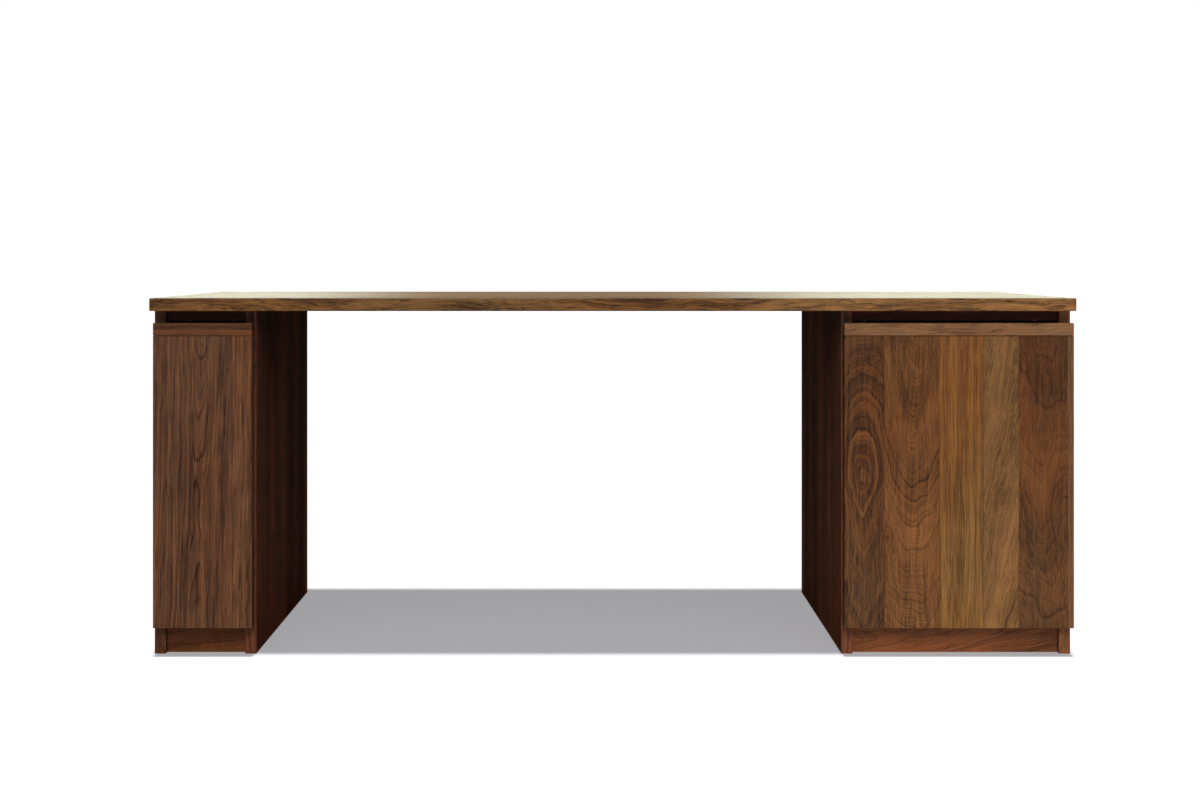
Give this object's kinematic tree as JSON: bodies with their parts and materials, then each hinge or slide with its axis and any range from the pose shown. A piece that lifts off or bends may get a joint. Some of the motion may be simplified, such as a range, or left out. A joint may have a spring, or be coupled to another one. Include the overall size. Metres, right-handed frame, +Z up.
{
  "type": "desk",
  "caption": "Solid walnut desk on two cabinets, with a slim pull-out, a hinged door and an open knee space.",
  "frame": {"origin": "On the ground, under the middle of the desktop.", "axes": "+X to the sitter's right, towards the door cabinet; +Y to the back; +Z up. The fronts face -Y."},
  "size_m": [1.803, 0.6, 0.7],
  "materials": {
    "walnut": "satin oil",
    "walnut_cross_grain": "satin oil",
    "pale_drawer_wood": "matt lacquer",
    "zinc_plated_steel": "bright zinc",
    "hinge_brass": "satin",
    "catch_plastic": "moulded",
    "bumper_rubber": "soft, milky"
  },
  "bodies": {
    "desk": {"desktop": "walnut", "batten_left": "zinc_plated_steel", "batten_right": "zinc_plated_steel", "left_outer_side": "walnut", "left_knee_side": "walnut", "left_floor_board": "walnut", "left_front_stretcher": "walnut", "left_rear_stretcher": "walnut", "left_front_plinth": "walnut", "left_rear_plinth": "walnut", "left_back_panel": "walnut", "right_outer_side": "walnut", "right_knee_side": "walnut", "right_floor_board": "walnut", "right_front_stretcher": "walnut", "right_rear_stretcher": "walnut", "right_front_plinth": "walnut", "right_rear_plinth": "walnut", "right_back_panel": "walnut", "right_shelf": "walnut", "shelf_pin_1": "zinc_plated_steel", "shelf_pin_2": "zinc_plated_steel", "shelf_pin_3": "zinc_plated_steel", "shelf_pin_4": "zinc_plated_steel", "hinge_bottom_cabinet_leaf": "hinge_brass", "hinge_bottom_pin": "hinge_brass", "hinge_top_cabinet_leaf": "hinge_brass", "hinge_top_pin": "hinge_brass", "magnetic_catch": "catch_plastic", "runner_lower_left_cabinet_member": "zinc_plated_steel", "runner_lower_right_cabinet_member": "zinc_plated_steel", "runner_upper_left_cabinet_member": "zinc_plated_steel", "runner_upper_right_cabinet_member": "zinc_plated_steel"},
    "runner_middles": {"runner_lower_left_middle_member": "zinc_plated_steel", "runner_lower_right_middle_member": "zinc_plated_steel", "runner_upper_left_middle_member": "zinc_plated_steel", "runner_upper_right_middle_member": "zinc_plated_steel"},
    "pullout": {"pullout_panel": "walnut", "pullout_grip": "walnut_cross_grain", "pullout_inner_front": "pale_drawer_wood", "pullout_rear_board": "pale_drawer_wood", "pullout_lower_left_side": "pale_drawer_wood", "pullout_lower_right_side": "pale_drawer_wood", "pullout_lower_tray": "pale_drawer_wood", "pullout_upper_left_side": "pale_drawer_wood", "pullout_upper_right_side": "pale_drawer_wood", "pullout_upper_tray": "pale_drawer_wood", "runner_lower_left_box_member": "zinc_plated_steel", "runner_lower_right_box_member": "zinc_plated_steel", "runner_upper_left_box_member": "zinc_plated_steel", "runner_upper_right_box_member": "zinc_plated_steel", "pullout_bumper_left": "bumper_rubber", "pullout_bumper_right": "bumper_rubber"},
    "door": {"right_door_panel": "walnut", "right_door_grip": "walnut_cross_grain", "hinge_bottom_door_leaf": "hinge_brass", "hinge_top_door_leaf": "hinge_brass", "strike_plate": "zinc_plated_steel", "door_bumper_bottom": "bumper_rubber", "door_bumper_top": "bumper_rubber"}
  },
  "joints": [
    {"name": "door_hinge", "type": "hinge", "parent": "desk", "child": "door", "pos_m": [0.9, -0.262, 0.3535], "axis": [0, 0, 1], "range_deg": [0, 175]},
    {"name": "pullout_slide", "type": "slide", "parent": "desk", "child": "pullout", "axis": [0, -1, 0], "range_m": [0, 0.45]},
    {"name": "runner_middle_slide", "type": "slide", "parent": "desk", "child": "runner_middles", "axis": [0, -1, 0], "range_m": [0, 0.225]}
  ],
  "couplings": [
    {"joint": "runner_middle_slide", "follows": "pullout_slide", "ratio": 0.5}
  ]
}
